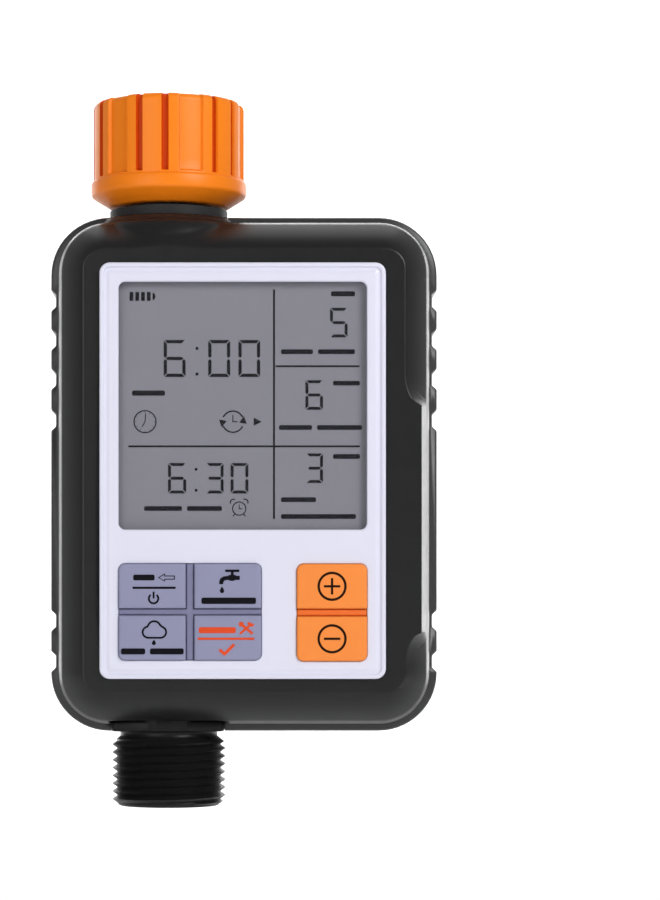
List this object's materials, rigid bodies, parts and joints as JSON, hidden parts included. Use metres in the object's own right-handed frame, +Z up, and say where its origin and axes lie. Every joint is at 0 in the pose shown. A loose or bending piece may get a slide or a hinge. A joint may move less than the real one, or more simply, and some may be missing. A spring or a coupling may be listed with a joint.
{
  "type": "hose-tap irrigation controller",
  "caption": "Single-outlet hose-tap irrigation controller: swivel nut inlet, display and keys on the front, motor-driven ball valve inside, male thread outlet.",
  "frame": {"origin": "on the pipe axis at the upper face of the inlet washer, the lower end of the inlet nut's thread", "axes": "+Z up along the pipe axis out of the inlet, +Y out of the rear face, +X to the right seen from the display side"},
  "size_m": [0.0892, 0.0468, 0.1629],
  "materials": {
    "housing": "fine satin texture",
    "housing_rear": "fine satin texture",
    "seal_rubber": "matte",
    "panel_white": "smooth semi-gloss",
    "clear_window": "polished",
    "display": "grey reflective display",
    "black_plastic": "matte",
    "contact_rubber": "matte",
    "grey_silicone": "matte",
    "orange_silicone": "matte",
    "grey_key": "satin",
    "orange_key": "satin",
    "circuit_board": "solder mask",
    "chip_black": "matte",
    "capacitor_sleeve": "glossy sleeve",
    "natural_plastic": "natural",
    "steel": "zinc plated",
    "orange_nut": "satin moulded",
    "white_plastic": "moulded",
    "neck_plastic": "satin moulded",
    "valve_black": "satin moulded",
    "seat_ptfe": "waxy",
    "brass": "turned",
    "gear_acetal": "moulded",
    "motor_can": "drawn steel",
    "gearbox_plastic": "moulded",
    "red_insulation": "extruded",
    "black_insulation": "extruded",
    "battery_sleeve": "plain shrink sleeve",
    "spring_steel": "nickel plated"
  },
  "bodies": {
    "root": {"front_cover": "housing", "rear_cover": "housing_rear", "case_gasket": "seal_rubber", "fascia_panel": "panel_white", "lcd_window": "clear_window", "lcd_glass": "display", "lcd_frame": "black_plastic", "lcd_contact_strip": "contact_rubber", "keypad_mat": "grey_silicone", "adjust_key_mat": "orange_silicone", "control_board": "circuit_board", "tact_switches": "black_plastic", "microcontroller": "chip_black", "buffer_capacitor": "capacitor_sleeve", "lead_connectors": "natural_plastic", "board_screws": "steel", "case_screws": "steel", "inlet_washer": "seal_rubber", "inlet_tailpiece": "neck_plastic", "valve_body": "valve_black", "valve_joint_seal": "seal_rubber", "valve_screws": "steel", "ball_seats": "seat_ptfe", "stem_gland": "brass", "gear_pins": "steel", "gear_motor": "motor_can", "gearbox_base": "gearbox_plastic", "gearbox_cover": "gearbox_plastic", "gearbox_screws": "steel", "motor_leads": "red_insulation", "battery_leads": "black_insulation", "battery_cells": "battery_sleeve", "battery_springs": "spring_steel", "battery_plates": "spring_steel", "battery_door_seal": "seal_rubber", "door_hinge_pin": "steel"},
    "nut": {"inlet_nut": "orange_nut"},
    "filter": {"inlet_filter": "white_plastic"},
    "back_button": {"back_key": "grey_key"},
    "manual_button": {"manual_key": "grey_key"},
    "rain_delay_button": {"rain_delay_key": "grey_key"},
    "setup_button": {"setup_key": "grey_key"},
    "plus_button": {"plus_key": "orange_key"},
    "minus_button": {"minus_key": "orange_key"},
    "door": {"battery_door": "housing_rear"},
    "door_fastener": {"door_screw": "steel"},
    "ball": {"valve_ball": "white_plastic", "valve_stem": "brass", "stem_seals": "seal_rubber", "output_gear": "gear_acetal"},
    "gear_b": {"compound_gear_b": "gear_acetal"},
    "gear_a": {"compound_gear_a": "gear_acetal"},
    "motor_rotor": {"motor_pinion": "brass"}
  },
  "joints": [
    {"name": "nut_spin", "type": "hinge", "parent": "root", "child": "nut", "pos_m": [0, 0, 0], "axis": [0, 0, 1], "continuous": true},
    {"name": "filter_lift", "type": "slide", "parent": "root", "child": "filter", "axis": [0, 0, 1], "range_m": [0, 0.04]},
    {"name": "back_press", "type": "slide", "parent": "root", "child": "back_button", "axis": [0, 1, 0], "range_m": [0, 0.0007], "stiffness_N_per_m": 600, "springref_m": -0.0005},
    {"name": "manual_press", "type": "slide", "parent": "root", "child": "manual_button", "axis": [0, 1, 0], "range_m": [0, 0.0007], "stiffness_N_per_m": 600, "springref_m": -0.0005},
    {"name": "rain_delay_press", "type": "slide", "parent": "root", "child": "rain_delay_button", "axis": [0, 1, 0], "range_m": [0, 0.0007], "stiffness_N_per_m": 600, "springref_m": -0.0005},
    {"name": "setup_press", "type": "slide", "parent": "root", "child": "setup_button", "axis": [0, 1, 0], "range_m": [0, 0.0007], "stiffness_N_per_m": 600, "springref_m": -0.0005},
    {"name": "plus_press", "type": "slide", "parent": "root", "child": "plus_button", "axis": [0, 1, 0], "range_m": [0, 0.0007], "stiffness_N_per_m": 600, "springref_m": -0.0005},
    {"name": "minus_press", "type": "slide", "parent": "root", "child": "minus_button", "axis": [0, 1, 0], "range_m": [0, 0.0007], "stiffness_N_per_m": 600, "springref_m": -0.0005},
    {"name": "door_swing", "type": "hinge", "parent": "root", "child": "door", "pos_m": [0.04, 0.023, -0.0842], "axis": [-1, 0, 0], "range_deg": [0, 95]},
    {"name": "door_screw_turn", "type": "hinge", "parent": "door", "child": "door_fastener", "pos_m": [0.04, 0.022, -0.0228], "axis": [0, 1, 0], "continuous": true},
    {"name": "valve_turn", "type": "hinge", "parent": "root", "child": "ball", "pos_m": [0, 0, -0.097], "axis": [1, 0, 0], "range_deg": [0, 90]},
    {"name": "gear_b_turn", "type": "hinge", "parent": "root", "child": "gear_b", "pos_m": [0.022, 0.0104, -0.103], "axis": [1, 0, 0], "range_deg": [-275, 5]},
    {"name": "gear_a_turn", "type": "hinge", "parent": "root", "child": "gear_a", "pos_m": [0.022, 0, -0.109], "axis": [1, 0, 0], "range_deg": [-5, 815]},
    {"name": "motor_turn", "type": "hinge", "parent": "root", "child": "motor_rotor", "pos_m": [0.028, 0.0075, -0.119], "axis": [1, 0, 0], "range_deg": [-3250, 5]}
  ],
  "couplings": [
    {"joint": "gear_b_turn", "follows": "valve_turn", "ratio": -3},
    {"joint": "gear_a_turn", "follows": "valve_turn", "ratio": 9},
    {"joint": "motor_turn", "follows": "valve_turn", "ratio": -36}
  ]
}
